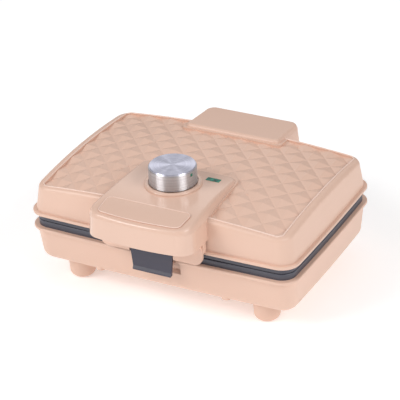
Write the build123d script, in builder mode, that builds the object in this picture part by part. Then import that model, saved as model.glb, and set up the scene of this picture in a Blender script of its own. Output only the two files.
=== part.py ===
from build123d import *
import math
import os

# Double waffle maker, millimetres.
# The origin is on the table under the middle of the shells, the handle points to -Y, +X is the longest side.

# Levels of the closed appliance
BASE_BOTTOM = 19.6
BASE_TOP = 53.0
RIM_THICK = 2.8
PLATE_SLAB = 5.6
PLATE_GAP = 0.5
MID_LEVEL = BASE_TOP + PLATE_SLAB + PLATE_GAP / 2
LID_BOTTOM = 2 * MID_LEVEL - BASE_TOP
LID_EDGE = 90.0

# Plan of the rims, measured to the corners before rounding
RIM_X = 125.0
RIM_Y = 83.0
RIM_BOW_X = 1.3
RIM_BOW_Y = 1.8
RIM_RADIUS = 16.2
RIM_LIP = 2.6
RIM_ROUND = 1.1

# Shell walls
WALL = 2.4
LID_DRAFT_X = 6.2
LID_DRAFT_Y = 3.2
LID_TOP_LEVEL = 106.0
LID_TOP_ROUND = 4.0
BASE_FLOOR_X = 120.4
BASE_FLOOR_Y = 76.0
BASE_ROUND = 8.0
BASE_FLOOR = BASE_BOTTOM + 2.6
VENT_PITCH = 9.0
VENT_SPREAD = 62.0
VENT_COUNT = 6
VENT_LENGTH = 28.0
VENT_WIDTH = 3.0
WIRE_WAY_RADIUS = 3.4

# Arched top of the lid: rise over the recessed field, along each direction
FIELD_X = 112.0
FIELD_Y = 74.5
FIELD_BOW_X = 0.4
FIELD_BOW_Y = 0.6
FIELD_RADIUS = 3.0
CROWN_X = 5.4
CROWN_Y = 4.2
BORDER_RISE = 1.0
LID_SKIN = 4.4

# Pyramids of the field: half pitches, top and valley levels from the arched surface
PYRAMID_HALF_X = 11.15
PYRAMID_HALF_Y = 12.35
PYRAMID_TOP = 0.5
PYRAMID_VALLEY = -1.5
PYRAMID_COLUMNS = 11
PYRAMID_ROWS = 7

# Cooking plates
PLATE_INSET = 4.0
PLATE_RADIUS = 13.0
PAN_X = 112.0
PAN_Y = 68.4
PAN_DEPTH = 5.5
WAFFLE_X = 100.0
WAFFLE_Y = 128.0
WAFFLE_OFFSET = 55.5
WAFFLE_DEPTH = 8.0
WAFFLE_DRAFT = 12.0
WAFFLE_COLUMNS = 5
WAFFLE_ROWS = 6
PEG_SIZE = 13.0
PEG_HEIGHT = 5.6
PEG_DRAFT = 14.0
DRIP_WIDTH = 2.4
DRIP_DEPTH = 1.2
PLATE_SCREW_X = 60.0
PLATE_SCREW_Y = 73.2

# Heaters and shields
HEATER_RADIUS = 3.25
HEATER_X = 78.0
HEATER_Y = 40.0
HEATER_CORNER = 8.0
HEATER_END_X = 14.0
HEATER_END_Y = 58.0
SHIELD_X = 106.0
SHIELD_Y = 64.0
SHIELD_SHEET = 0.8
SHIELD_WALL = 6.0
SHIELD_LEVEL = 38.0
SHIELD_POST_X = 60.0
SHIELD_POST_Y = 25.0

# Feet
FOOT_X = 89.2
FOOT_Y = 57.0
FOOT_TOP_RADIUS = 12.0
FOOT_BOTTOM_RADIUS = 11.0
FOOT_ROUND = 5.5
FOOT_HOLE_DEPTH = 14.0
FOOT_BOSS = 4.8

# Handle and control plate
HANDLE_BACK = -15.5
HANDLE_FRONT = -117.0
HANDLE_TOP_LEVEL = 103.6
HANDLE_LID_LEVEL = 96.0
GRIP_BOTTOM = 77.7
HANDLE_TOP_BACK = 100.9
HANDLE_TOP_MID = 103.2
HANDLE_TOP_FRONT = 98.6
HANDLE_TOP_START = -12.0
HANDLE_TOP_END = -120.0
HANDLE_ROUND = 2.6
HANDLE_TOP_BACK_X = 42.4
HANDLE_TOP_FRONT_X = 45.2
HANDLE_TOP_SIDE = -109.5
HANDLE_TOP_NOSE = -113.8
HANDLE_LID_BACK_X = 45.4
HANDLE_LID_FRONT_X = 48.6
HANDLE_LID_SIDE = -111.8
HANDLE_LID_NOSE = -116.4
GRIP_BACK_X = 46.0
GRIP_FRONT_X = 49.6
GRIP_SIDE = -112.4
GRIP_FLOOR = 3.0
GRIP_PLAY = 0.7
HANDLE_SPREAD = 2.5
HANDLE_FRONT_CORNER = 14.0
HANDLE_BACK_CORNER = 8.0
GRIP_SCREW_X = 30.0
GRIP_SCREW_Y = -101.0
SKIRT_X = 48.0
SKIRT_FRONT = -90.6
SKIRT_BACK = -88.0
SKIRT_BOTTOM = 57.2
SKIRT_CORNER = 8.0
PAD_X = 39.0
PAD_TAPER = 1.3
PAD_BACK = -87.0
PAD_FRONT = -108.8
PAD_RISE = 0.7
PAD_CORNER = 5.0

# Knob, its bezel and shaft
KNOB_Y = -46.6
KNOB_RADIUS = 20.4
KNOB_BOTTOM = 105.6
KNOB_TOP = 120.7
KNOB_SLEEVE = 1.5
KNOB_CAP = 0.9
BEZEL_OUTER = 24.6
BEZEL_INNER = 21.3
BEZEL_TOP = 105.2
BEZEL_FLOOR = 103.9
SHAFT_RADIUS = 3.0
SHAFT_FIT = 0.05
BUSH_RADIUS = 4.6
INDEX_WIDTH = 2.4
INDEX_HEIGHT = 2.6
INDEX_ANGLE = -12.0

# Thermostat under the knob
THERMOSTAT_TOP = 91.5
THERMOSTAT_RADIUS = 8.2
THERMOSTAT_FLANGE_X = 34.0
THERMOSTAT_FLANGE_Y = 9.0
SENSOR_RADIUS = 3.0
SENSOR_LENGTH = 9.0

# Indicator
LENS_X = 27.9
LENS_Y = -27.7
LENS_WIDTH = 12.3
LENS_DEPTH = 5.6

# Latch
LATCH_TOP_X = 19.8
LATCH_BOTTOM_X = 17.7
LATCH_FRONT = -90.4
LATCH_BACK = -88.2
LATCH_TOP = 74.0
LATCH_BOTTOM = 40.1
LATCH_PIVOT_Y = -94.0
LATCH_PIVOT_Z = 71.5
LATCH_BARREL = 3.2
LATCH_PIN_RADIUS = 1.5
LATCH_HOOK_TIP = -85.5
LATCH_HOOK_X = 12.0
LATCH_GAP = 0.8
RECESS_X = 21.4
RECESS_BACK = -77.0
RECESS_MOUTH = -100.0
RECESS_BOTTOM = 36.4
CATCH_FRONT = -84.8
CATCH_THICK = 3.0

# Hinge
HINGE_Y = 97.4
HINGE_Z = MID_LEVEL
HINGE_PIN_RADIUS = 2.5
HINGE_FIT = 0.05
HINGE_PIN_X = 41.0
HINGE_REACH = 60.0
KNUCKLE_RADIUS = 8.5
EAR_INNER = 30.0
EAR_OUTER = 39.0
KNUCKLE_INNER = 17.0
KNUCKLE_OUTER = 29.6
BLOCK_FRONT = 59.8
BLOCK_BACK = 108.8
BLOCK_TOP_FRONT = 100.1
BLOCK_TOP_BACK = 96.1
BLOCK_ROUND = 3.0
BLOCK_SHOULDER = 93.0
BLOCK_TOP_X = 44.2
BLOCK_SHOULDER_X = 47.0
BLOCK_FOOT_X = 49.6
BLOCK_BACK_NARROWER = 1.7
BLOCK_CORNER = 9.0
BLOCK_FRONT_CORNER = 5.0
LOWER_BLOCK_X = 46.0
LOWER_BLOCK_BOTTOM = 28.5
LOWER_BLOCK_BACK = 107.9
LOWER_BLOCK_FRONT = 72.0
SWEEP_CLEAR = 15.0
EAR_FOOT = 26.4
EAR_BACK = 2.4
GLAND_Z = 35.3
GLAND_BORE = 2.8
GLAND_RADIUS = 4.2

# Small electrical pieces
TERMINAL_X = -20.0
TERMINAL_Y = 44.0
TERMINAL_LENGTH = 30.0
TERMINAL_WIDTH = 14.0
TERMINAL_HEIGHT = 9.0
FUSE_Y = 20.0
FUSE_RADIUS = 2.4
FUSE_LENGTH = 16.0
FUSE_LEAD_RADIUS = 0.6
FUSE_LEAD = 4.0

# Screws
SCREW_RADIUS = 1.5
SCREW_CLEAR = 1.9
SCREW_HEAD = 3.1
SCREW_HEAD_HEIGHT = 1.8
SCREW_SLOT_LENGTH = 3.4
SCREW_SLOT_WIDTH = 0.7
SINK_DEPTH = 0.5
SINK_HEAD = 1.25
BOSS_RADIUS = 4.4


def rim_sketch(level, half_x, half_y, bow_x, bow_y, radius):
    corners = [(half_x, half_y), (-half_x, half_y), (-half_x, -half_y), (half_x, -half_y)]
    middles = [(0, half_y + bow_y), (-half_x - bow_x, 0), (0, -half_y - bow_y), (half_x + bow_x, 0)]
    with BuildSketch(Plane.XY.offset(level)) as outline:
        with BuildLine():
            for number, middle in enumerate(middles):
                ThreePointArc(corners[number], middle, corners[(number + 1) % len(corners)])
        make_face()
        fillet(outline.vertices(), radius)
    return outline.sketch


def shell_sketch(level, half_x, half_y, inset=0.0):
    radius = RIM_RADIUS - RIM_LIP - inset
    return rim_sketch(level, half_x - inset, half_y - inset, RIM_BOW_X, RIM_BOW_Y, radius)


def wall_loft(low, high, inset=0.0):
    with BuildPart() as block:
        loft(sections=[shell_sketch(*low, inset), shell_sketch(*high, inset)], ruled=True)
    return block.part


def crown_height(x, y):
    return LID_EDGE + CROWN_X * (1 - (x / FIELD_X) ** 2) + CROWN_Y * (1 - (y / FIELD_Y) ** 2)


def crown_solid(lift):
    radius_x = FIELD_X**2 / (2 * CROWN_X)
    radius_y = FIELD_Y**2 / (2 * CROWN_Y)
    peak = crown_height(0, 0) + lift
    reach_y = RIM_Y + 10
    reach_x = RIM_X + 12
    floor = LID_BOTTOM - 10
    swing = 2 * math.degrees(math.asin(reach_x / (radius_x - 60)))
    shoulder = peak - radius_y + math.sqrt(radius_y**2 - reach_y**2)
    with BuildPart() as block:
        with BuildSketch(Plane.YZ):
            with BuildLine():
                ThreePointArc((-reach_y, shoulder), (0, peak), (reach_y, shoulder))
                Polyline((reach_y, shoulder), (reach_y, floor), (-reach_y, floor), (-reach_y, shoulder))
            make_face()
        revolve(axis=Axis((0, 0, peak - radius_x), (0, 1, 0)), revolution_arc=swing)
    return block.part.rotate(Axis((0, 0, peak - radius_x), (0, 1, 0)), -swing / 2)


# Space above the pyramids, as a closed faceted solid
def pyramid_space(ceiling):
    def corner(i, j):
        x = i * PYRAMID_HALF_X
        y = j * PYRAMID_HALF_Y
        rise = PYRAMID_TOP if (i + j) % 2 == 0 else PYRAMID_VALLEY
        return Vector(x, y, crown_height(x, y) + rise)

    around = [(1, 0), (0, 1), (-1, 0), (0, -1)]
    faces = []
    edges = {}
    for i in range(-PYRAMID_COLUMNS, PYRAMID_COLUMNS + 1):
        for j in range(-PYRAMID_ROWS, PYRAMID_ROWS + 1):
            if (i + j) % 2:
                continue
            for number, (di, dj) in enumerate(around):
                ei, ej = around[(number + 1) % 4]
                first = (i + di, j + dj)
                second = (i + ei, j + ej)
                points = [corner(i, j), corner(*first), corner(*second)]
                faces.append(Face(Wire.make_polygon(points)))
                if (second, first) in edges:
                    del edges[(second, first)]
                else:
                    edges[(first, second)] = True
    following = dict(edges.keys())
    start = next(iter(following))
    loop = [start]
    while following[loop[-1]] != start:
        loop.append(following[loop[-1]])
    lid = []
    for number, node in enumerate(loop):
        low_a = corner(*node)
        low_b = corner(*loop[(number + 1) % len(loop)])
        high_a = Vector(low_a.X, low_a.Y, ceiling)
        high_b = Vector(low_b.X, low_b.Y, ceiling)
        faces.append(Face(Wire.make_polygon([low_a, low_b, high_b, high_a])))
        lid.append(high_a)
    faces.append(Face(Wire.make_polygon(lid)))
    return Solid(Shell(faces))


def handle_sketch(level, back_x, front_x, front_side, front_middle, inset=0.0, grow_back=0.0):
    back = HANDLE_BACK + grow_back - inset
    side = front_side + inset
    with BuildSketch(Plane.XY.offset(level)) as outline:
        with BuildLine():
            ThreePointArc((-front_x + inset, side), (0, front_middle + inset), (front_x - inset, side))
            Line((front_x - inset, side), (back_x - inset, back))
            Line((back_x - inset, back), (-back_x + inset, back))
            Line((-back_x + inset, back), (-front_x + inset, side))
        make_face()
        fillet(outline.vertices().group_by(Axis.Y)[0], HANDLE_FRONT_CORNER - inset)
        fillet(outline.vertices().group_by(Axis.Y)[-1], HANDLE_BACK_CORNER - inset)
    return outline.sketch


def grip_sketch(level, inset):
    return handle_sketch(level, GRIP_BACK_X, GRIP_FRONT_X, GRIP_SIDE, HANDLE_FRONT, inset, HANDLE_SPREAD)


def handle_sections(inset=0.0):
    top = (HANDLE_TOP_BACK_X, HANDLE_TOP_FRONT_X, HANDLE_TOP_SIDE, HANDLE_TOP_NOSE)
    middle = (HANDLE_LID_BACK_X, HANDLE_LID_FRONT_X, HANDLE_LID_SIDE, HANDLE_LID_NOSE)
    return [
        handle_sketch(HANDLE_TOP_LEVEL + 1, *top, inset),
        handle_sketch(HANDLE_LID_LEVEL, *middle, inset, HANDLE_SPREAD),
        grip_sketch(GRIP_BOTTOM, inset),
    ]


# Everything under the slightly arched top of the handle
def handle_roof(lift, half_x=60.0, low=60.0):
    middle = (HANDLE_TOP_START + HANDLE_TOP_END) / 2
    with BuildPart() as block:
        with BuildSketch(Plane.YZ.offset(-half_x)):
            with BuildLine():
                ThreePointArc(
                    (HANDLE_TOP_START, HANDLE_TOP_BACK + lift),
                    (middle, HANDLE_TOP_MID + lift),
                    (HANDLE_TOP_END, HANDLE_TOP_FRONT + lift),
                )
                Polyline(
                    (HANDLE_TOP_END, HANDLE_TOP_FRONT + lift),
                    (HANDLE_TOP_END, low),
                    (HANDLE_TOP_START, low),
                    (HANDLE_TOP_START, HANDLE_TOP_BACK + lift),
                )
            make_face()
        extrude(amount=2 * half_x)
    return block.part


def block_sketch(level, front_x, back_x, front, back, radius, inset=0.0):
    with BuildSketch(Plane.XY.offset(level)) as outline:
        with BuildLine():
            Polyline(
                (-front_x + inset, front + inset),
                (front_x - inset, front + inset),
                (back_x - inset, back - inset),
                (-back_x + inset, back - inset),
                close=True,
            )
        make_face()
        fillet(outline.vertices().group_by(Axis.Y)[-1], radius - inset)
        fillet(outline.vertices().group_by(Axis.Y)[0], BLOCK_FRONT_CORNER - inset)
    return outline.sketch


def block_sections(inset=0.0):
    top = (BLOCK_TOP_X, BLOCK_TOP_X - 2 * BLOCK_BACK_NARROWER, BLOCK_FRONT + 1.4, BLOCK_BACK - 2.2)
    shoulder = (BLOCK_SHOULDER_X, BLOCK_SHOULDER_X - BLOCK_BACK_NARROWER, BLOCK_FRONT - 1.0, BLOCK_BACK - 0.8)
    foot = (BLOCK_FOOT_X, BLOCK_FOOT_X - BLOCK_BACK_NARROWER, BLOCK_FRONT - 3.0, BLOCK_BACK)
    return [
        block_sketch(BLOCK_TOP_FRONT + 2, *top, BLOCK_CORNER - 1, inset),
        block_sketch(BLOCK_SHOULDER, *shoulder, BLOCK_CORNER, inset),
        block_sketch(LID_BOTTOM, *foot, BLOCK_CORNER, inset),
    ]


def slope_cut(lift):
    slope = (BLOCK_TOP_BACK - BLOCK_TOP_FRONT) / (BLOCK_BACK - BLOCK_FRONT)
    front = BLOCK_FRONT - 20
    back = BLOCK_BACK + 20
    with BuildPart() as block:
        with BuildSketch(Plane.YZ.offset(-70)):
            with BuildLine():
                Polyline(
                    (front, BLOCK_TOP_FRONT + lift + slope * (front - BLOCK_FRONT)),
                    (back, BLOCK_TOP_FRONT + lift + slope * (back - BLOCK_FRONT)),
                    (back, 60),
                    (front, 60),
                    close=True,
                )
            make_face()
        extrude(amount=140)
    return block.part


# Lowest and highest edges of a body
def outer_rings(body):
    rings = body.edges().group_by(Axis.Z)
    return rings[0] + rings[-1]


def export(part, name):
    part.label = name
    export_step(part, f"parts/{name}.step")
    box = part.bounding_box()
    print(f"{name:24s} solids {len(part.solids())} volume {part.volume:10.1f} z {box.min.Z:.1f}..{box.max.Z:.1f}")


os.makedirs("parts", exist_ok=True)

# Outer envelopes
RIM_WALL_X = RIM_X - RIM_LIP
RIM_WALL_Y = RIM_Y - RIM_LIP
LID_LOW = (LID_BOTTOM, RIM_WALL_X, RIM_WALL_Y)
LID_HIGH = (LID_TOP_LEVEL, RIM_WALL_X - LID_DRAFT_X, RIM_WALL_Y - LID_DRAFT_Y)
BASE_LOW = (BASE_BOTTOM, BASE_FLOOR_X, BASE_FLOOR_Y)
BASE_HIGH = (BASE_TOP, RIM_WALL_X, RIM_WALL_Y)

# Lid envelope: drafted walls, arched top with a soft edge, rounded flange
with BuildPart() as lid_body:
    add(wall_loft(LID_LOW, LID_HIGH))
    add(crown_solid(BORDER_RISE), mode=Mode.INTERSECT)
    top_face = lid_body.faces().sort_by(Axis.Z)[-1]
    fillet(top_face.edges(), LID_TOP_ROUND)
with BuildPart() as lid_flange:
    add(rim_sketch(LID_BOTTOM, RIM_X, RIM_Y, RIM_BOW_X, RIM_BOW_Y, RIM_RADIUS))
    extrude(amount=RIM_THICK)
    fillet(outer_rings(lid_flange), RIM_ROUND)
with BuildPart() as lid_envelope:
    add(lid_body.part)
    add(lid_flange.part)

# Base envelope
with BuildPart() as base_body:
    add(wall_loft(BASE_LOW, BASE_HIGH))
    fillet(base_body.faces().sort_by(Axis.Z)[0].edges(), BASE_ROUND)
with BuildPart() as base_flange:
    add(rim_sketch(BASE_TOP - RIM_THICK, RIM_X, RIM_Y, RIM_BOW_X, RIM_BOW_Y, RIM_RADIUS))
    extrude(amount=RIM_THICK)
    fillet(outer_rings(base_flange), RIM_ROUND)
with BuildPart() as base_envelope:
    add(base_body.part)
    add(base_flange.part)

# Field of pyramids, without the pads that carry the handle and the hinge block
handle_pad = handle_sketch(LID_EDGE - 8, 45.8, 49.4, -112, -118, 0.0, 3.2)
block_pad = block_sketch(LID_EDGE - 8, 48.4, 47.0, BLOCK_FRONT - 2.0, BLOCK_BACK, 9.0)
with BuildPart() as field:
    with BuildSketch(Plane.XY.offset(LID_EDGE - 8)):
        add(rim_sketch(0, FIELD_X, FIELD_Y, FIELD_BOW_X, FIELD_BOW_Y, FIELD_RADIUS))
        add(handle_pad.moved(Location((0, 0, 8 - LID_EDGE))), mode=Mode.SUBTRACT)
        add(block_pad.moved(Location((0, 0, 8 - LID_EDGE))), mode=Mode.SUBTRACT)
    extrude(amount=30)
    add(pyramid_space(LID_EDGE + 20), mode=Mode.INTERSECT)

# Lid shell
with BuildPart() as lid_room:
    add(wall_loft(LID_LOW, LID_HIGH, WALL))
    add(crown_solid(BORDER_RISE - LID_SKIN), mode=Mode.INTERSECT)
boss_spots = [(x, y) for x in (-PLATE_SCREW_X, PLATE_SCREW_X) for y in (-PLATE_SCREW_Y, PLATE_SCREW_Y)]
post_spots = [(x, y) for x in (-SHIELD_POST_X, SHIELD_POST_X) for y in (-SHIELD_POST_Y, SHIELD_POST_Y)]
upper_shield_level = 2 * MID_LEVEL - SHIELD_LEVEL
with BuildPart() as lid_bosses:
    with BuildSketch(Plane.XY.offset(LID_BOTTOM)):
        with Locations(*boss_spots):
            Circle(BOSS_RADIUS)
    extrude(amount=40)
    with BuildSketch(Plane.XY.offset(upper_shield_level)):
        with Locations(*post_spots):
            Circle(BOSS_RADIUS)
    extrude(amount=30)
    with BuildSketch(Plane.XY.offset(LID_BOTTOM)):
        with Locations(*(boss_spots + post_spots)):
            Circle(SCREW_RADIUS)
    extrude(amount=24, mode=Mode.SUBTRACT)
    add(crown_solid(BORDER_RISE - LID_SKIN / 2), mode=Mode.INTERSECT)
    add(lid_body.part, mode=Mode.INTERSECT)
with BuildPart() as lid_shell:
    add(lid_body.part)
    add(field.part, mode=Mode.SUBTRACT)
    add(lid_flange.part)
    add(lid_room.part, mode=Mode.SUBTRACT)
    add(lid_bosses.part)
    # Holes for the bush of the thermostat and for the light of the indicator
    with BuildSketch(Plane.XY.offset(LID_EDGE - 10)):
        with Locations((0, KNOB_Y)):
            Circle(BUSH_RADIUS)
        with Locations((LENS_X, LENS_Y)):
            Rectangle(LENS_WIDTH - 5, LENS_DEPTH - 2)
    extrude(amount=30, mode=Mode.SUBTRACT)
export(lid_shell.part, "lid_shell")

# Base shell with the scooped recess for the latch
recess_profile = [
    (RECESS_MOUTH, RECESS_BOTTOM - 5),
    (RECESS_BACK - 4, RECESS_BOTTOM),
    (RECESS_BACK, RECESS_BOTTOM + 4),
    (RECESS_BACK, BASE_TOP + 1),
    (RECESS_MOUTH, BASE_TOP + 1),
]


def recess_block(half_x, grow):
    points = []
    for y, z in recess_profile:
        grown_y = y + grow if y > RECESS_MOUTH else y
        grown_z = z - grow if z < BASE_TOP else z
        points.append((grown_y, grown_z))
    with BuildPart() as block:
        with BuildSketch(Plane.YZ.offset(-half_x)):
            with BuildLine():
                Polyline(*points, close=True)
            make_face()
        extrude(amount=2 * half_x)
    return block.part


with BuildPart() as base_room:
    add(wall_loft((BASE_FLOOR, BASE_FLOOR_X, BASE_FLOOR_Y), (BASE_TOP, RIM_WALL_X, RIM_WALL_Y), WALL))
    fillet(base_room.faces().sort_by(Axis.Z)[0].edges(), BASE_ROUND - WALL)
    add(recess_block(RECESS_X + WALL, WALL), mode=Mode.SUBTRACT)
with BuildPart() as base_shell:
    add(base_envelope.part)
    add(base_room.part, mode=Mode.SUBTRACT)
    add(recess_block(RECESS_X, 0), mode=Mode.SUBTRACT)
    # Ledge of the catch
    with BuildSketch(Plane.XY.offset(LATCH_BOTTOM + 4.2)):
        with Locations((0, (RECESS_BACK + CATCH_FRONT) / 2)):
            Rectangle(2 * LATCH_HOOK_X + 3, RECESS_BACK - CATCH_FRONT + 0.4)
    extrude(amount=CATCH_THICK)
    # Screw bosses for plate, shield and feet
    with BuildSketch(Plane.XY.offset(BASE_BOTTOM + 1)):
        with Locations(*boss_spots):
            Circle(BOSS_RADIUS)
    extrude(amount=BASE_TOP - BASE_BOTTOM - 1)
    with BuildSketch(Plane.XY.offset(BASE_BOTTOM + 1)):
        with Locations(*post_spots):
            Circle(BOSS_RADIUS)
    extrude(amount=SHIELD_LEVEL - BASE_BOTTOM - 1)
    with BuildSketch(Plane.XY.offset(BASE_BOTTOM + 1)):
        with GridLocations(2 * FOOT_X, 2 * FOOT_Y, 2, 2):
            Circle(BOSS_RADIUS + 1)
    extrude(amount=FOOT_BOSS - 1)
    with BuildSketch(Plane.XY.offset(BASE_FLOOR + 2)):
        with Locations(*(boss_spots + post_spots)):
            Circle(SCREW_RADIUS)
    extrude(amount=40, mode=Mode.SUBTRACT)
    with BuildSketch(Plane.XY.offset(BASE_BOTTOM - 2)):
        with GridLocations(2 * FOOT_X, 2 * FOOT_Y, 2, 2):
            Circle(SCREW_CLEAR)
    extrude(amount=10, mode=Mode.SUBTRACT)
    # Vent slots in the floor
    with BuildSketch(Plane.XY.offset(BASE_BOTTOM - 2)):
        with GridLocations(VENT_PITCH, VENT_SPREAD, VENT_COUNT, 2):
            SlotOverall(VENT_LENGTH, VENT_WIDTH, rotation=90)
    extrude(amount=8, mode=Mode.SUBTRACT)
    # Way for the wires into the hinge cover
    with BuildSketch(Plane.XZ.offset(-70)):
        with Locations((0, GLAND_Z)):
            Circle(WIRE_WAY_RADIUS)
    extrude(amount=-20, mode=Mode.SUBTRACT)
export(base_shell.part, "base_shell")


# Cooking plate, lower one; the upper one is its mirror image
waffle_pitch_x = WAFFLE_X / WAFFLE_COLUMNS
waffle_pitch_y = WAFFLE_Y / WAFFLE_ROWS
plate_top = BASE_TOP + PLATE_SLAB
with BuildPart() as pan:
    with BuildSketch(Plane.XY.offset(BASE_TOP - PAN_DEPTH)):
        RectangleRounded(2 * PAN_X, 2 * PAN_Y, 10)
    extrude(amount=PAN_DEPTH)
with BuildPart() as lower_cooking_plate:
    add(rim_sketch(BASE_TOP, RIM_X - PLATE_INSET, RIM_Y - PLATE_INSET, RIM_BOW_X, RIM_BOW_Y, PLATE_RADIUS))
    extrude(amount=PLATE_SLAB)
    fillet(lower_cooking_plate.edges().group_by(Axis.Z)[-1], 0.8)
    add(pan.part)
    # Drip channel round both hollows
    with BuildSketch(Plane.XY.offset(plate_top)):
        RectangleRounded(2 * PAN_X - 2, 2 * PAN_Y - 1, 8)
        RectangleRounded(2 * PAN_X - 2 - 2 * DRIP_WIDTH, 2 * PAN_Y - 1 - 2 * DRIP_WIDTH, 6, mode=Mode.SUBTRACT)
    extrude(amount=-DRIP_DEPTH, mode=Mode.SUBTRACT)
    # Waffle hollows with sloping sides
    with BuildSketch(Plane.XY.offset(plate_top)):
        with Locations((-WAFFLE_OFFSET, 0), (WAFFLE_OFFSET, 0)):
            RectangleRounded(WAFFLE_X, WAFFLE_Y, 4)
    extrude(amount=-WAFFLE_DEPTH, taper=WAFFLE_DRAFT, mode=Mode.SUBTRACT)
    # Pegs that press the pockets
    with BuildSketch(Plane.XY.offset(plate_top - WAFFLE_DEPTH)):
        for side in (-1, 1):
            with Locations((side * WAFFLE_OFFSET, 0)):
                with GridLocations(waffle_pitch_x - 1.0, waffle_pitch_y - 1.2, WAFFLE_COLUMNS, WAFFLE_ROWS):
                    Rectangle(PEG_SIZE, PEG_SIZE + 1)
    extrude(amount=PEG_HEIGHT, taper=PEG_DRAFT)
    # Countersunk screw holes
    with Locations(*[(x, y, plate_top) for x, y in boss_spots]):
        CounterSinkHole(SCREW_CLEAR, SCREW_HEAD + 0.2, PLATE_SLAB + 1, 90)
export(lower_cooking_plate.part, "lower_cooking_plate")

with BuildPart() as upper_cooking_plate:
    mirror(lower_cooking_plate.part, about=Plane.XY.offset(MID_LEVEL))
export(upper_cooking_plate.part, "upper_cooking_plate")


# Heating tube: an open loop pressed against the back of the plate
heater_level = BASE_TOP - PAN_DEPTH - HEATER_RADIUS
with BuildPart() as lower_heating_element:
    with BuildLine() as heater_path:
        FilletPolyline(
            (-HEATER_END_X, HEATER_END_Y, heater_level),
            (-HEATER_END_X, HEATER_Y, heater_level),
            (-HEATER_X, HEATER_Y, heater_level),
            (-HEATER_X, -HEATER_Y, heater_level),
            (HEATER_X, -HEATER_Y, heater_level),
            (HEATER_X, HEATER_Y, heater_level),
            (HEATER_END_X, HEATER_Y, heater_level),
            (HEATER_END_X, HEATER_END_Y, heater_level),
            radius=HEATER_CORNER,
        )
    with BuildSketch(Plane(origin=heater_path.line @ 0, z_dir=heater_path.line % 0)):
        Circle(HEATER_RADIUS)
    sweep(path=heater_path.line)
export(lower_heating_element.part, "lower_heating_element")
with BuildPart() as upper_heating_element:
    mirror(lower_heating_element.part, about=Plane.XY.offset(MID_LEVEL))
export(upper_heating_element.part, "upper_heating_element")


# Heat shield: a shallow tray of sheet with screw holes
def heat_shield(window_radius):
    with BuildPart() as tray:
        with BuildSketch(Plane.XY.offset(SHIELD_LEVEL)):
            RectangleRounded(2 * SHIELD_X, 2 * SHIELD_Y, 9)
        extrude(amount=SHIELD_WALL)
        offset(amount=-SHIELD_SHEET, openings=tray.faces().sort_by(Axis.Z)[-1])
        with BuildSketch(Plane.XY.offset(SHIELD_LEVEL - 1)):
            with Locations(*post_spots):
                Circle(SCREW_CLEAR)
            if window_radius:
                with Locations((0, KNOB_Y)):
                    Circle(window_radius)
        extrude(amount=3, mode=Mode.SUBTRACT)
    return tray.part


with BuildPart() as lower_heat_shield:
    add(heat_shield(0))
export(lower_heat_shield.part, "lower_heat_shield")
with BuildPart() as upper_heat_shield:
    mirror(heat_shield(11), about=Plane.XY.offset(MID_LEVEL))
export(upper_heat_shield.part, "upper_heat_shield")


# Screws: plates, shields and feet
def countersunk_screws(level, spots, length):
    with BuildPart() as screws:
        with BuildSketch(Plane.XY.offset(level - length)):
            with Locations(*spots):
                Circle(SCREW_RADIUS)
        extrude(amount=length - SINK_DEPTH - SINK_HEAD / 2)
        with Locations(*[(x, y, level - SINK_DEPTH - SINK_HEAD / 2) for x, y in spots]):
            Cone(SCREW_RADIUS, SCREW_RADIUS + SINK_HEAD, SINK_HEAD)
        with BuildSketch(Plane.XY.offset(level)):
            with Locations(*spots):
                Rectangle(SCREW_SLOT_LENGTH, SCREW_SLOT_WIDTH)
                Rectangle(SCREW_SLOT_WIDTH, SCREW_SLOT_LENGTH)
        extrude(amount=-1.3, mode=Mode.SUBTRACT)
    return screws.part


def pan_screws(level, spots, length):
    with BuildPart() as screws:
        with BuildSketch(Plane.XY.offset(level)):
            with Locations(*spots):
                Circle(SCREW_RADIUS)
        extrude(amount=length)
        with BuildSketch(Plane.XY.offset(level)):
            with Locations(*spots):
                Circle(SCREW_HEAD)
        extrude(amount=-SCREW_HEAD_HEIGHT)
        with BuildSketch(Plane.XY.offset(level - SCREW_HEAD_HEIGHT)):
            with Locations(*spots):
                Rectangle(SCREW_SLOT_LENGTH, SCREW_SLOT_WIDTH)
                Rectangle(SCREW_SLOT_WIDTH, SCREW_SLOT_LENGTH)
        extrude(amount=1.0, mode=Mode.SUBTRACT)
    return screws.part


with BuildPart() as lower_plate_screws:
    add(countersunk_screws(plate_top, boss_spots, 18))
export(lower_plate_screws.part, "lower_plate_screws")
with BuildPart() as upper_plate_screws:
    mirror(lower_plate_screws.part, about=Plane.XY.offset(MID_LEVEL))
export(upper_plate_screws.part, "upper_plate_screws")
with BuildPart() as upper_shield_screws:
    add(pan_screws(upper_shield_level - SHIELD_SHEET, post_spots, 5))
export(upper_shield_screws.part, "upper_shield_screws")
with BuildPart() as lower_shield_screws:
    mirror(upper_shield_screws.part, about=Plane.XY.offset(MID_LEVEL))
export(lower_shield_screws.part, "lower_shield_screws")

# Feet, each held by a screw from inside the base
with BuildPart() as foot:
    with BuildSketch(Plane.XY):
        Circle(FOOT_BOTTOM_RADIUS)
    with BuildSketch(Plane.XY.offset(BASE_BOTTOM)):
        Circle(FOOT_TOP_RADIUS)
    loft()
    fillet(foot.edges().filter_by(GeomType.CIRCLE).sort_by(Axis.Z)[0], FOOT_ROUND)
    with BuildSketch(Plane.XY.offset(BASE_BOTTOM - FOOT_HOLE_DEPTH)):
        Circle(SCREW_RADIUS)
    extrude(amount=FOOT_HOLE_DEPTH, mode=Mode.SUBTRACT)
foot_places = {
    "foot_front_left": (-FOOT_X, -FOOT_Y),
    "foot_front_right": (FOOT_X, -FOOT_Y),
    "foot_rear_left": (-FOOT_X, FOOT_Y),
    "foot_rear_right": (FOOT_X, FOOT_Y),
}
for foot_name, (foot_x, foot_y) in foot_places.items():
    with BuildPart() as placed_foot:
        add(foot.part.moved(Location((foot_x, foot_y, 0))))
    export(placed_foot.part, foot_name)
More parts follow.
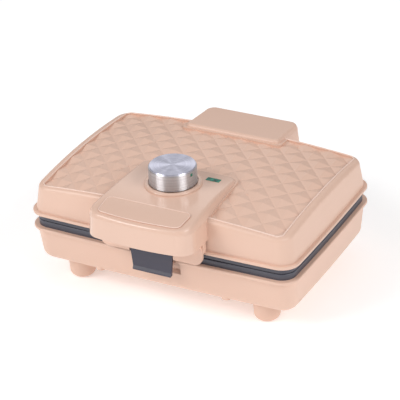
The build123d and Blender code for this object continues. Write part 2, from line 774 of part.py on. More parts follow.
with BuildPart() as foot_screws:
    foot_seat = BASE_BOTTOM + FOOT_BOSS
    mirror(pan_screws(foot_seat, list(foot_places.values()), FOOT_BOSS + 12), about=Plane.XY.offset(foot_seat))
export(foot_screws.part, "foot_screws")

# Handle cover: control plate and grip in one glossy moulding
grip_screw_spots = [(-GRIP_SCREW_X, GRIP_SCREW_Y), (GRIP_SCREW_X, GRIP_SCREW_Y)]
with BuildPart() as handle_outer:
    loft(sections=handle_sections(), ruled=True)
    add(handle_roof(0), mode=Mode.INTERSECT)
    roof_face = handle_outer.faces().sort_by(Axis.Z)[-1]
    fillet(roof_face.edges(), HANDLE_ROUND)
with BuildPart() as handle_room:
    loft(sections=handle_sections(WALL), ruled=True)
    add(handle_roof(-WALL), mode=Mode.INTERSECT)
with BuildPart() as handle_cover:
    add(handle_outer.part)
    add(handle_room.part, mode=Mode.SUBTRACT)
    add(lid_envelope.part, mode=Mode.SUBTRACT)
    with BuildSketch(Plane.XY.offset(LID_EDGE)):
        with Locations((0, KNOB_Y)):
            Circle(BUSH_RADIUS)
        with Locations((LENS_X, LENS_Y)):
            Rectangle(LENS_WIDTH, LENS_DEPTH)
    extrude(amount=30, mode=Mode.SUBTRACT)
    # Posts for the two screws of the underside
    with BuildSketch(Plane.XY.offset(GRIP_BOTTOM + 3)):
        with Locations(*grip_screw_spots):
            Circle(BOSS_RADIUS)
            Circle(SCREW_RADIUS, mode=Mode.SUBTRACT)
    extrude(amount=17.5)
export(handle_cover.part, "handle_cover")

# Thumb pad on the grip
with BuildPart() as grip_pad:
    with BuildSketch(Plane.XY.offset(LID_EDGE)) as pad_plan:
        with BuildLine():
            ThreePointArc((-PAD_X + PAD_TAPER, PAD_FRONT), (0, PAD_FRONT - 2.4), (PAD_X - PAD_TAPER, PAD_FRONT))
            Polyline((PAD_X - PAD_TAPER, PAD_FRONT), (PAD_X, PAD_BACK), (-PAD_X, PAD_BACK),
                     (-PAD_X + PAD_TAPER, PAD_FRONT))
        make_face()
        fillet(pad_plan.vertices(), PAD_CORNER)
    extrude(amount=20)
    add(handle_roof(PAD_RISE), mode=Mode.INTERSECT)
    add(handle_roof(0), mode=Mode.SUBTRACT)
export(grip_pad.part, "grip_pad")

# Raised ring round the knob
with BuildPart() as knob_bezel:
    with BuildSketch(Plane.XY.offset(LID_EDGE)):
        with Locations((0, KNOB_Y)):
            Circle(BEZEL_OUTER)
            Circle(BUSH_RADIUS, mode=Mode.SUBTRACT)
    extrude(amount=BEZEL_TOP - LID_EDGE)
    fillet(knob_bezel.edges().filter_by(GeomType.CIRCLE).group_by(Axis.Z)[-1].sort_by(SortBy.RADIUS)[-1], 1.6)
    with BuildSketch(Plane.XY.offset(BEZEL_FLOOR)):
        with Locations((0, KNOB_Y)):
            Circle(BEZEL_INNER)
    extrude(amount=10, mode=Mode.SUBTRACT)
    add(handle_roof(0), mode=Mode.SUBTRACT)
export(knob_bezel.part, "knob_bezel")

# Indicator window and lamp
with BuildPart() as indicator_lens:
    with BuildSketch(Plane.XY.offset(LID_EDGE)):
        with Locations((LENS_X, LENS_Y)):
            Rectangle(LENS_WIDTH - 0.1, LENS_DEPTH - 0.1)
    extrude(amount=20)
    add(handle_roof(0.35), mode=Mode.INTERSECT)
    add(lid_envelope.part, mode=Mode.SUBTRACT)
export(indicator_lens.part, "indicator_lens")
with BuildPart() as indicator_lamp:
    with BuildSketch(Plane.YZ.offset(LENS_X - 6)):
        with Locations((LENS_Y, 90.0)):
            Circle(2.2)
    extrude(amount=12)
    fillet(indicator_lamp.edges(), 1.0)
export(indicator_lamp.part, "indicator_lamp")

# Thermostat under the control plate, with the bush that guides its shaft
with BuildPart() as thermostat:
    with BuildSketch(Plane.XY.offset(upper_shield_level + 0.4)):
        with Locations((0, KNOB_Y)):
            Circle(THERMOSTAT_RADIUS + 0.8)
            Rectangle(THERMOSTAT_FLANGE_X, THERMOSTAT_FLANGE_Y)
    extrude(amount=1.2)
    with BuildSketch(Plane.XY.offset(upper_shield_level + 1.6)):
        with Locations((0, KNOB_Y)):
            Circle(THERMOSTAT_RADIUS)
    extrude(amount=THERMOSTAT_TOP - upper_shield_level - 1.6)
    with BuildSketch(Plane.XY.offset(upper_shield_level - 8)):
        with Locations((0, KNOB_Y)):
            Circle(SENSOR_RADIUS)
    extrude(amount=SENSOR_LENGTH)
export(thermostat.part, "thermostat")
with BuildPart() as shaft_bush:
    with BuildSketch(Plane.XY.offset(THERMOSTAT_TOP)):
        with Locations((0, KNOB_Y)):
            Circle(BUSH_RADIUS)
            Circle(SHAFT_RADIUS + SHAFT_FIT, mode=Mode.SUBTRACT)
    extrude(amount=BEZEL_FLOOR + 0.8 - THERMOSTAT_TOP)
export(shaft_bush.part, "shaft_bush")

# Knob: core, bright ring, turned disc, index mark and shaft
ring_top = KNOB_TOP - KNOB_CAP
with BuildPart() as control_shaft:
    with BuildSketch(Plane.XY.offset(THERMOSTAT_TOP + 0.3)):
        with Locations((0, KNOB_Y)):
            Circle(SHAFT_RADIUS)
    extrude(amount=ring_top - 2 - THERMOSTAT_TOP - 0.3)
export(control_shaft.part, "control_shaft")
with BuildPart() as knob_core:
    with BuildSketch(Plane.XY.offset(KNOB_BOTTOM + 0.8)):
        with Locations((0, KNOB_Y)):
            Circle(KNOB_RADIUS - KNOB_SLEEVE)
    extrude(amount=ring_top - KNOB_BOTTOM - 0.8)
    with BuildSketch(Plane.XY.offset(KNOB_BOTTOM)):
        with Locations((0, KNOB_Y)):
            Circle(KNOB_RADIUS - KNOB_SLEEVE - 2)
            Circle(SHAFT_RADIUS + 3, mode=Mode.SUBTRACT)
    extrude(amount=11, mode=Mode.SUBTRACT)
    add(control_shaft.part, mode=Mode.SUBTRACT)
export(knob_core.part, "knob_core")
with BuildPart() as knob_index:
    with BuildSketch(Plane(origin=(0, KNOB_Y, 0), x_dir=(0, 1, 0), z_dir=(1, 0, 0)).rotated((0, 0, 0))) as mark:
        with Locations((0, ring_top - 1.6 - INDEX_HEIGHT / 2)):
            Rectangle(INDEX_WIDTH, INDEX_HEIGHT)
    extrude(amount=KNOB_RADIUS + 0.15)
    with BuildSketch(Plane.XY.offset(LID_EDGE)):
        with Locations((0, KNOB_Y)):
            Circle(KNOB_RADIUS + 0.15)
            Circle(KNOB_RADIUS - 0.4, mode=Mode.SUBTRACT)
    extrude(amount=40, mode=Mode.INTERSECT)
index_part = knob_index.part.rotate(Axis((0, KNOB_Y, 0), (0, 0, 1)), INDEX_ANGLE)
with BuildPart() as knob_ring:
    with BuildSketch(Plane.XY.offset(KNOB_BOTTOM)):
        with Locations((0, KNOB_Y)):
            Circle(KNOB_RADIUS)
            Circle(KNOB_RADIUS - KNOB_SLEEVE, mode=Mode.SUBTRACT)
    extrude(amount=ring_top - KNOB_BOTTOM)
    chamfer(knob_ring.edges().filter_by(GeomType.CIRCLE).group_by(Axis.Z)[-1].sort_by(SortBy.RADIUS)[-1], 0.6)
    add(index_part, mode=Mode.SUBTRACT)
export(knob_ring.part, "knob_ring")
export(index_part, "knob_index")
with BuildPart() as knob_disc:
    with BuildSketch(Plane.XY.offset(ring_top)):
        with Locations((0, KNOB_Y)):
            Circle(KNOB_RADIUS - 0.6)
    extrude(amount=KNOB_CAP)
    chamfer(knob_disc.edges().filter_by(GeomType.CIRCLE).sort_by(Axis.Z)[-1], 0.5)
export(knob_disc.part, "knob_disc")

# Underside of the grip: floor, skirt with the notch of the latch, two ears for its pin
with BuildPart() as handle_underside:
    add(grip_sketch(GRIP_BOTTOM, WALL + GRIP_PLAY))
    extrude(amount=GRIP_FLOOR)
    with BuildSketch(Plane.XY.offset(GRIP_BOTTOM - 1)):
        with Locations((0, 0)):
            Rectangle(140, 2 * (RIM_WALL_Y + RIM_BOW_Y + 0.4))
    extrude(amount=6, mode=Mode.SUBTRACT)
    with BuildSketch(Plane.XZ.offset(-SKIRT_BACK)) as skirt_plan:
        with Locations((0, (GRIP_BOTTOM + SKIRT_BOTTOM) / 2)):
            Rectangle(2 * SKIRT_X, GRIP_BOTTOM - SKIRT_BOTTOM)
        fillet(skirt_plan.vertices().group_by(Axis.Z)[0], SKIRT_CORNER)
        with Locations((0, (LATCH_TOP + 1 + SKIRT_BOTTOM - 1) / 2)):
            Rectangle(2 * (LATCH_TOP_X + LATCH_GAP), LATCH_TOP + 1 - SKIRT_BOTTOM + 1, mode=Mode.SUBTRACT)
    extrude(amount=SKIRT_BACK - SKIRT_FRONT)
    # Return walls towards the lid, above its flange
    with BuildSketch(Plane.XY.offset(LID_BOTTOM + RIM_THICK + 0.6)):
        with Locations((-SKIRT_X + 1.2, SKIRT_BACK + 2.2), (SKIRT_X - 1.2, SKIRT_BACK + 2.2)):
            Rectangle(WALL, 5.4)
    extrude(amount=GRIP_BOTTOM - LID_BOTTOM - RIM_THICK - 0.6)
    with BuildSketch(Plane.YZ.offset(LATCH_TOP_X + LATCH_GAP)):
        with Locations((LATCH_PIVOT_Y, LATCH_PIVOT_Z)):
            Circle(LATCH_BARREL)
        with Locations((LATCH_PIVOT_Y, (LATCH_PIVOT_Z + GRIP_BOTTOM) / 2)):
            Rectangle(2 * LATCH_BARREL, GRIP_BOTTOM - LATCH_PIVOT_Z)
        with Locations((LATCH_PIVOT_Y, LATCH_PIVOT_Z)):
            Circle(LATCH_PIN_RADIUS, mode=Mode.SUBTRACT)
    extrude(amount=2.6)
    mirror(about=Plane.YZ)
    with BuildSketch(Plane.XY.offset(GRIP_BOTTOM)):
        with Locations(*grip_screw_spots):
            Circle(SCREW_CLEAR)
    extrude(amount=6, mode=Mode.SUBTRACT)
export(handle_underside.part, "handle_underside")
with BuildPart() as handle_screws:
    add(pan_screws(GRIP_BOTTOM, grip_screw_spots, 14))
export(handle_screws.part, "handle_screws")

# Latch tongue with its barrel and hook
latch_side = [
    (LATCH_FRONT, LATCH_TOP),
    (LATCH_FRONT, LATCH_BOTTOM + 3.2),
    (LATCH_FRONT - 1.4, LATCH_BOTTOM + 1.2),
    (LATCH_FRONT - 1.4, LATCH_BOTTOM),
    (LATCH_BACK, LATCH_BOTTOM),
    (LATCH_BACK, LATCH_TOP),
]
with BuildPart() as latch:
    with BuildSketch(Plane.YZ.offset(-LATCH_TOP_X)):
        with BuildLine():
            Polyline(*latch_side, close=True)
        make_face()
    extrude(amount=2 * LATCH_TOP_X)
    with BuildSketch(Plane.YZ.offset(-LATCH_TOP_X)):
        with Locations((LATCH_PIVOT_Y, LATCH_PIVOT_Z)):
            Circle(LATCH_BARREL)
        with Locations(((LATCH_PIVOT_Y + LATCH_BACK) / 2, LATCH_PIVOT_Z)):
            Rectangle(LATCH_BACK - LATCH_PIVOT_Y, 2.6)
    extrude(amount=2 * LATCH_TOP_X)
    # Sides draw in towards the bottom
    with BuildSketch(Plane.XZ.offset(-LATCH_HOOK_TIP)):
        with BuildLine():
            Polyline(
                (-LATCH_TOP_X, LATCH_TOP + 1),
                (-LATCH_TOP_X, 61),
                (-LATCH_BOTTOM_X, LATCH_BOTTOM - 1),
                (LATCH_BOTTOM_X, LATCH_BOTTOM - 1),
                (LATCH_TOP_X, 61),
                (LATCH_TOP_X, LATCH_TOP + 1),
                close=True,
            )
        make_face()
    extrude(amount=30, mode=Mode.INTERSECT)
    # Hook towards the catch
    with BuildSketch(Plane.YZ.offset(-LATCH_HOOK_X)):
        with BuildLine():
            Polyline(
                (LATCH_BACK - 0.5, LATCH_BOTTOM),
                (LATCH_HOOK_TIP - 1.2, LATCH_BOTTOM),
                (LATCH_HOOK_TIP, LATCH_BOTTOM + 1.2),
                (LATCH_HOOK_TIP, LATCH_BOTTOM + 3),
                (LATCH_BACK - 0.5, LATCH_BOTTOM + 3),
                close=True,
            )
        make_face()
    extrude(amount=2 * LATCH_HOOK_X)
    with BuildSketch(Plane.YZ.offset(-LATCH_TOP_X)):
        with Locations((LATCH_PIVOT_Y, LATCH_PIVOT_Z)):
            Circle(LATCH_PIN_RADIUS + SHAFT_FIT)
    extrude(amount=2 * LATCH_TOP_X, mode=Mode.SUBTRACT)
    # Middle of the barrel is open for the spring
    with BuildSketch(Plane.XY.offset(LATCH_PIVOT_Z - 6)):
        with Locations((0, LATCH_PIVOT_Y)):
            Rectangle(14, 8.6)
    extrude(amount=12, mode=Mode.SUBTRACT)
export(latch.part, "latch")
with BuildPart() as latch_pin:
    with BuildSketch(Plane.YZ.offset(-LATCH_TOP_X - LATCH_GAP - 2.6)):
        with Locations((LATCH_PIVOT_Y, LATCH_PIVOT_Z)):
            Circle(LATCH_PIN_RADIUS)
    extrude(amount=2 * (LATCH_TOP_X + LATCH_GAP + 2.6))
export(latch_pin.part, "latch_pin")

# Spring round the latch pin
with BuildPart() as latch_spring:
    with BuildLine() as coil:
        Helix(pitch=1.35, height=10.8, radius=2.3, center=(-5.4, LATCH_PIVOT_Y, LATCH_PIVOT_Z), direction=(1, 0, 0))
    with BuildSketch(Plane(origin=coil.line @ 0, z_dir=coil.line % 0)):
        Circle(0.4)
    sweep(path=coil.line, is_frenet=True)
export(latch_spring.part, "latch_spring")

# Upper hinge cover behind the lid
with BuildPart() as block_outer:
    loft(sections=block_sections(), ruled=True)
    add(slope_cut(0), mode=Mode.INTERSECT)
    fillet(block_outer.faces().sort_by(Axis.Z)[-1].edges(), BLOCK_ROUND)
with BuildPart() as block_room:
    loft(sections=block_sections(WALL), ruled=True)
    add(slope_cut(-WALL), mode=Mode.INTERSECT)
with BuildPart() as hinge_cover_upper:
    add(block_outer.part)
    add(block_room.part, mode=Mode.SUBTRACT)
    add(lid_envelope.part, mode=Mode.SUBTRACT)
export(hinge_cover_upper.part, "hinge_cover_upper")

# Upper hinge bracket: plate on the back wall of the lid with two knuckles
lid_back = RIM_Y - RIM_LIP + RIM_BOW_Y
bracket_low = HINGE_Z + 12.6
bracket_high = LID_EDGE - 2.5
with BuildPart() as hinge_bracket_upper:
    with BuildSketch(Plane.YZ.offset(KNUCKLE_INNER)):
        with Locations((HINGE_Y, HINGE_Z)):
            Circle(KNUCKLE_RADIUS)
        with BuildLine():
            Polyline(
                (HINGE_Y - 5.5, HINGE_Z + 6),
                (HINGE_Y - 8, bracket_low),
                (lid_back - 1, bracket_low),
                (lid_back - 1, bracket_high),
                (HINGE_Y, bracket_high),
                (HINGE_Y + 7, bracket_low + 1),
                (HINGE_Y + 8, HINGE_Z + 2),
                close=True,
            )
        make_face()
    extrude(amount=KNUCKLE_OUTER - KNUCKLE_INNER)
    mirror(about=Plane.YZ)
    with BuildSketch(Plane.XY.offset(bracket_low + 1)):
        with Locations((0, lid_back)):
            Rectangle(2 * KNUCKLE_OUTER + 20, 6)
    extrude(amount=bracket_high - bracket_low - 1)
    add(lid_envelope.part, mode=Mode.SUBTRACT)
    with BuildSketch(Plane.YZ.offset(-HINGE_REACH)):
        with Locations((HINGE_Y, HINGE_Z)):
            Circle(HINGE_PIN_RADIUS + HINGE_FIT)
    extrude(amount=2 * HINGE_REACH, mode=Mode.SUBTRACT)
export(hinge_bracket_upper.part, "hinge_bracket_upper")

# Lower hinge cover, hollow, relieved under the turning lid
sweep_level = HINGE_Z - SWEEP_CLEAR
lower_profile = [
    (LOWER_BLOCK_FRONT, LOWER_BLOCK_BOTTOM),
    (LOWER_BLOCK_BACK - 3, LOWER_BLOCK_BOTTOM),
    (LOWER_BLOCK_BACK, LOWER_BLOCK_BOTTOM + 3),
    (LOWER_BLOCK_BACK, sweep_level - 2.9),
    (HINGE_Y + 3, sweep_level),
    (HINGE_Y - 4, sweep_level),
    (HINGE_Y - 10.4, sweep_level + 5),
    (LOWER_BLOCK_FRONT, sweep_level + 5),
]


def lower_block(half_x, grow):
    with BuildPart() as block:
        with BuildSketch(Plane.YZ.offset(-half_x)) as side:
            with BuildLine():
                Polyline(*lower_profile, close=True)
            make_face()
            if grow:
                offset(amount=-grow, kind=Kind.INTERSECTION)
        extrude(amount=2 * half_x)
    return block.part


ear_low = HINGE_Z - EAR_FOOT
ear_bend = ear_low + 12
with BuildPart() as hinge_cover_lower:
    add(lower_block(LOWER_BLOCK_X, 0))
    fillet(hinge_cover_lower.edges().filter_by(Axis.Z).sort_by(Axis.Y)[-2:], 2.5)
    add(lower_block(LOWER_BLOCK_X - WALL, WALL), mode=Mode.SUBTRACT)
    add(base_envelope.part, mode=Mode.SUBTRACT)
    # Slots for the ears
    with BuildSketch(Plane.XY.offset(40)):
        for side in (-1, 1):
            with Locations((side * (EAR_INNER + EAR_OUTER) / 2, HINGE_Y - 4.5)):
                Rectangle(EAR_OUTER - EAR_INNER + 0.4, 18.4)
    extrude(amount=20, mode=Mode.SUBTRACT)
    with BuildSketch(Plane.XZ.offset(-LOWER_BLOCK_BACK - 1)):
        with Locations((0, GLAND_Z)):
            Circle(GLAND_RADIUS - 0.6)
    extrude(amount=8, mode=Mode.SUBTRACT)
export(hinge_cover_lower.part, "hinge_cover_lower")

# Lower hinge bracket: two ears on a cross plate inside the cover
with BuildPart() as hinge_bracket_lower:
    with BuildSketch(Plane.YZ.offset(EAR_INNER)):
        with Locations((HINGE_Y, HINGE_Z)):
            Circle(KNUCKLE_RADIUS)
        with BuildLine():
            Polyline(
                (HINGE_Y - 13.5, ear_low),
                (HINGE_Y + EAR_BACK, ear_low),
                (HINGE_Y + EAR_BACK, HINGE_Z - KNUCKLE_RADIUS + 1),
                (HINGE_Y - 8.4, HINGE_Z - 1),
                (HINGE_Y - 13.5, ear_bend),
                close=True,
            )
        make_face()
    extrude(amount=EAR_OUTER - EAR_INNER)
    mirror(about=Plane.YZ)
    with BuildSketch(Plane.XY.offset(ear_low - 1.4)):
        with Locations((0, HINGE_Y - 4.5)):
            Rectangle(2 * EAR_OUTER, 18)
            Circle(5, mode=Mode.SUBTRACT)
    extrude(amount=2.4)
    with BuildSketch(Plane.YZ.offset(-HINGE_REACH)):
        with Locations((HINGE_Y, HINGE_Z)):
            Circle(HINGE_PIN_RADIUS)
    extrude(amount=2 * HINGE_REACH, mode=Mode.SUBTRACT)
export(hinge_bracket_lower.part, "hinge_bracket_lower")

with BuildPart() as hinge_pin:
    with BuildSketch(Plane.YZ.offset(-HINGE_PIN_X)):
        with Locations((HINGE_Y, HINGE_Z)):
            Circle(HINGE_PIN_RADIUS)
    extrude(amount=2 * HINGE_PIN_X)
    chamfer(hinge_pin.edges(), 0.4)
export(hinge_pin.part, "hinge_pin")

# Cord gland in the back of the lower hinge cover
with BuildPart() as cord_gland:
    with BuildSketch(Plane.YZ) as gland_half:
        with BuildLine():
            Polyline(
                (LOWER_BLOCK_BACK - WALL - 2, GLAND_Z + GLAND_BORE),
                (-HANDLE_FRONT, GLAND_Z + GLAND_BORE),
                (-HANDLE_FRONT, GLAND_Z + GLAND_RADIUS - 0.8),
                (-HANDLE_FRONT - 1, GLAND_Z + GLAND_RADIUS - 0.4),
                (LOWER_BLOCK_BACK + 2, GLAND_Z + GLAND_RADIUS + 0.4),
                (LOWER_BLOCK_BACK + 1.6, GLAND_Z + GLAND_RADIUS + 1.4),
                (LOWER_BLOCK_BACK, GLAND_Z + GLAND_RADIUS + 1.4),
                (LOWER_BLOCK_BACK, GLAND_Z + GLAND_RADIUS - 0.6),
                (LOWER_BLOCK_BACK - WALL - 2, GLAND_Z + GLAND_RADIUS - 0.6),
                close=True,
            )
        make_face()
    revolve(axis=Axis((0, 0, GLAND_Z), (0, 1, 0)))
export(cord_gland.part, "cord_gland")

# Small electrical pieces inside the base
with BuildPart() as terminal_block:
    with BuildSketch(Plane.XY.offset(BASE_FLOOR)):
        with Locations((TERMINAL_X, TERMINAL_Y)):
            Rectangle(TERMINAL_LENGTH, TERMINAL_WIDTH)
    extrude(amount=TERMINAL_HEIGHT)
    with BuildSketch(Plane.XY.offset(BASE_FLOOR + TERMINAL_HEIGHT)):
        with Locations((TERMINAL_X, TERMINAL_Y)):
            with GridLocations(TERMINAL_LENGTH * 0.3, 0, 3, 1):
                Circle(2)
    extrude(amount=-4, mode=Mode.SUBTRACT)
export(terminal_block.part, "terminal_block")
fuse_level = BASE_TOP - PAN_DEPTH - FUSE_RADIUS
with BuildPart() as thermal_fuse:
    with BuildSketch(Plane.YZ.offset(-FUSE_LENGTH / 2)):
        with Locations((FUSE_Y, fuse_level)):
            Circle(FUSE_RADIUS)
    extrude(amount=FUSE_LENGTH)
    with BuildSketch(Plane.YZ.offset(-FUSE_LENGTH / 2 - FUSE_LEAD)):
        with Locations((FUSE_Y, fuse_level)):
            Circle(FUSE_LEAD_RADIUS)
    extrude(amount=FUSE_LENGTH + 2 * FUSE_LEAD)
export(thermal_fuse.part, "thermal_fuse")
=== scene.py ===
import math

import bmesh
import bpy
from mathutils import Matrix, Vector
from mathutils.bvhtree import BVHTree
from mathutils.geometry import convex_hull_2d


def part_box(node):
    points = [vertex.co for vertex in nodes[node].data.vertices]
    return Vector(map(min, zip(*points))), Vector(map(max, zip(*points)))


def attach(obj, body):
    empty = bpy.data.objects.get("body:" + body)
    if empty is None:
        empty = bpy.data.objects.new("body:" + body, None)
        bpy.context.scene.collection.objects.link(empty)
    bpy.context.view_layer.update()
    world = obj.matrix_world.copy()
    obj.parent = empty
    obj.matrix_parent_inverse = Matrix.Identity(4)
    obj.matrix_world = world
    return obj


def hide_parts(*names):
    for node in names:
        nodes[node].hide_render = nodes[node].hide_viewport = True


MM = 0.001
UPWARD = Vector((0, 0, 1))
DROP_HEIGHT = 0.3

# Camera: the photograph's viewing angle
AZIMUTH = math.radians(28.71)
ELEVATION = math.radians(29.04)
ROLL = math.radians(-2.74)
DISTANCE = 1.6594
TARGET = Vector((0, 0, 0.0635))
PAN_RIGHT = -0.84 * MM
PAN_UP = -0.58 * MM
LENS = 173.12
SENSOR = 36.0
CLIP_END = 100

# Waffle field of the lid: half sizes, bow of its sides and corner length
FIELD_X = 112.0 * MM
FIELD_Y = 74.5 * MM
FIELD_BOW_X = 0.4 * MM
FIELD_BOW_Y = 0.6 * MM
FIELD_CORNER = 3.0 * MM

# Bead round the field
BEAD_RADIUS = 0.7 * MM
BEAD_OUT = 0.45 * MM
BEAD_SINK = 0.05 * MM
BEAD_STEPS = 64
BEAD_SIDES = 10

# Lid mesh: joined points, dropped slivers and the angle that counts as a crease
JOIN_REACH = 0.002 * MM
SLIVER = 0.001 * MM
CREASE = math.radians(14)

# Line round the thumb pad
PAD_STEP = 1.0 * MM
PAD_OUT = 0.35 * MM
PAD_LINE = 0.45 * MM

# Colours, linear
PEACH = (0.80, 0.545, 0.43, 1)
PEACH_DEEP = (0.77, 0.52, 0.405, 1)
# Edge colours: lighter than the shell, a painted highlight for the bead and pad line
EDGE_HIGHLIGHT = (0.92, 0.70, 0.60, 1)
EDGE_HIGHLIGHT_DEEP = (0.86, 0.62, 0.51, 1)
COATING = (0.055, 0.056, 0.078, 1)
COATING_LIGHT = (0.075, 0.077, 0.10, 1)
LATCH_BLUE = (0.062, 0.060, 0.088, 1)
LATCH_BLUE_DEEP = (0.050, 0.048, 0.072, 1)
METAL = (0.88, 0.87, 0.89, 1)
METAL_DEEP = (0.60, 0.59, 0.61, 1)
DISC = (0.86, 0.86, 0.99, 1)
DISC_DEEP = (0.66, 0.66, 0.79, 1)
STEEL = (0.55, 0.55, 0.56, 1)
STEEL_DEEP = (0.42, 0.42, 0.44, 1)
GREEN = (0.02, 0.40, 0.26, 1)
GREEN_DARK = (0.004, 0.05, 0.04, 1)
BLACK = (0.012, 0.012, 0.014, 1)
BLACK_SOFT = (0.02, 0.02, 0.022, 1)
CERAMIC = (0.72, 0.70, 0.64, 1)
CERAMIC_DEEP = (0.62, 0.60, 0.54, 1)
BRASS = (0.70, 0.50, 0.22, 1)
BRASS_DEEP = (0.55, 0.38, 0.16, 1)
FLOOR_WHITE = (0.96, 0.96, 0.96, 1)
GLOW_WHITE = (1, 1, 1, 1)
SKY_WHITE = (0.98, 0.98, 1.0, 1)

# Pattern of the moulded finishes
PATCH_DETAIL = 4
PATCH_DARK_END = 0.3
PATCH_LIGHT_END = 0.7
GRAIN_DETAIL = 3
GRAIN_STRENGTH = 1.0

# Pattern of the turned metal
RING_DETAIL = 2
RING_DARK_END = 0.35
RING_LIGHT_END = 0.65
RING_GLOSS_SPREAD = 0.2
RING_HEIGHT = 0.02 * MM
RING_STRENGTH = 0.5
ACROSS_RINGS = 0.25

# Soft boxes: place, size and power
SOFT_BOXES = {
    "front": ((-1.05, -1.3, 1.35), (1.1, 1.0), 21.0),
    "side": ((1.75, -0.47, 1.35), (1.1, 1.0), 19.0),
    "top": ((0.0, 0.5, 2.2), (1.6, 1.2), 5.0),
    "back": ((-0.95, 1.75, 1.25), (1.6, 0.5), 2.2),
}
LIGHT_AIM = Vector((0, 0, 0.06))
SKY = 0.31

# Floor
FLOOR_REACH = 12.0
FLOOR_ROUGHNESS = 0.9
FLOOR_GLOW = 0.3

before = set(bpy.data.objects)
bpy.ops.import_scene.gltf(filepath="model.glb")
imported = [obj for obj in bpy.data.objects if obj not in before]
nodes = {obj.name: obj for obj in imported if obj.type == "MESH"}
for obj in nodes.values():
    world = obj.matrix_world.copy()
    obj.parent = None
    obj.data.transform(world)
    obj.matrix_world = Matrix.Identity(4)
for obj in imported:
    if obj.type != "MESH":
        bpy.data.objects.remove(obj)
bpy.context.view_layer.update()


# Parts of a material
def new_material(name):
    mat = bpy.data.materials.new(name)
    mat.use_nodes = True
    return mat, mat.node_tree, mat.node_tree.nodes["Principled BSDF"]


def add_noise(tree, vector, scale, detail):
    noise = tree.nodes.new("ShaderNodeTexNoise")
    noise.inputs["Scale"].default_value = scale
    noise.inputs["Detail"].default_value = detail
    tree.links.new(vector, noise.inputs["Vector"])
    return noise.outputs["Fac"]


def add_ramp(tree, factor, dark, light, dark_end, light_end, socket):
    ramp = tree.nodes.new("ShaderNodeValToRGB")
    ends = ramp.color_ramp.elements
    ends[0].color = dark
    ends[0].position = dark_end
    ends[1].color = light
    ends[1].position = light_end
    tree.links.new(factor, ramp.inputs["Fac"])
    tree.links.new(ramp.outputs["Color"], socket)


def add_range(tree, factor, low, high, socket):
    spread = tree.nodes.new("ShaderNodeMapRange")
    spread.inputs["To Min"].default_value = low
    spread.inputs["To Max"].default_value = high
    tree.links.new(factor, spread.inputs["Value"])
    tree.links.new(spread.outputs["Result"], socket)


def add_relief(tree, factor, height, strength, socket):
    bump = tree.nodes.new("ShaderNodeBump")
    bump.inputs["Distance"].default_value = height
    bump.inputs["Strength"].default_value = strength
    tree.links.new(factor, bump.inputs["Height"])
    tree.links.new(bump.outputs["Normal"], socket)


def surface(name, dark, light, *, rough, patch, grain, height, **sockets):
    """A finish with slow colour patches, uneven gloss and a fine raised grain."""
    mat, tree, shader = new_material(name)
    place = tree.nodes.new("ShaderNodeTexCoord").outputs["Object"]
    patches = add_noise(tree, place, patch, PATCH_DETAIL)
    grains = add_noise(tree, place, grain, GRAIN_DETAIL)
    add_ramp(tree, patches, dark, light, PATCH_DARK_END, PATCH_LIGHT_END, shader.inputs["Base Color"])
    add_range(tree, patches, rough[0], rough[1], shader.inputs["Roughness"])
    add_relief(tree, grains, height, GRAIN_STRENGTH, shader.inputs["Normal"])
    for socket, value in sockets.items():
        shader.inputs[socket.replace("_", " ")].default_value = value
    return mat


def ring_place(tree, axis):
    """Distance from the upright axis, and height, as a place for the ring pattern."""
    place = tree.nodes.new("ShaderNodeTexCoord")
    centre = tree.nodes.new("ShaderNodeVectorMath")
    centre.operation = "SUBTRACT"
    centre.inputs[1].default_value = (axis.x, axis.y, 0)
    tree.links.new(place.outputs["Object"], centre.inputs[0])
    parts = tree.nodes.new("ShaderNodeSeparateXYZ")
    tree.links.new(centre.outputs["Vector"], parts.inputs["Vector"])
    flat = tree.nodes.new("ShaderNodeCombineXYZ")
    tree.links.new(parts.outputs["X"], flat.inputs["X"])
    tree.links.new(parts.outputs["Y"], flat.inputs["Y"])
    reach = tree.nodes.new("ShaderNodeVectorMath")
    reach.operation = "LENGTH"
    tree.links.new(flat.outputs["Vector"], reach.inputs[0])
    joined = tree.nodes.new("ShaderNodeCombineXYZ")
    tree.links.new(reach.outputs["Value"], joined.inputs["X"])
    tree.links.new(parts.outputs["Z"], joined.inputs["Y"])
    return joined.outputs["Vector"]


def turned_metal(name, dark, light, *, axis, pitch, rough, anisotropy):
    """Metal turned about an upright axis: fine rings, with highlights drawn across them."""
    mat, tree, shader = new_material(name)
    shader.inputs["Metallic"].default_value = 1.0
    shader.inputs["Anisotropic"].default_value = anisotropy
    shader.inputs["Anisotropic Rotation"].default_value = ACROSS_RINGS
    rings = add_noise(tree, ring_place(tree, axis), 1.0 / pitch, RING_DETAIL)
    add_ramp(tree, rings, dark, light, RING_DARK_END, RING_LIGHT_END, shader.inputs["Base Color"])
    smooth = rough * (1 - RING_GLOSS_SPREAD)
    coarse = rough * (1 + RING_GLOSS_SPREAD)
    add_range(tree, rings, smooth, coarse, shader.inputs["Roughness"])
    add_relief(tree, rings, RING_HEIGHT, RING_STRENGTH, shader.inputs["Normal"])
    tangent = tree.nodes.new("ShaderNodeTangent")
    tangent.direction_type = "RADIAL"
    tangent.axis = "Z"
    tree.links.new(tangent.outputs["Tangent"], shader.inputs["Tangent"])
    return mat


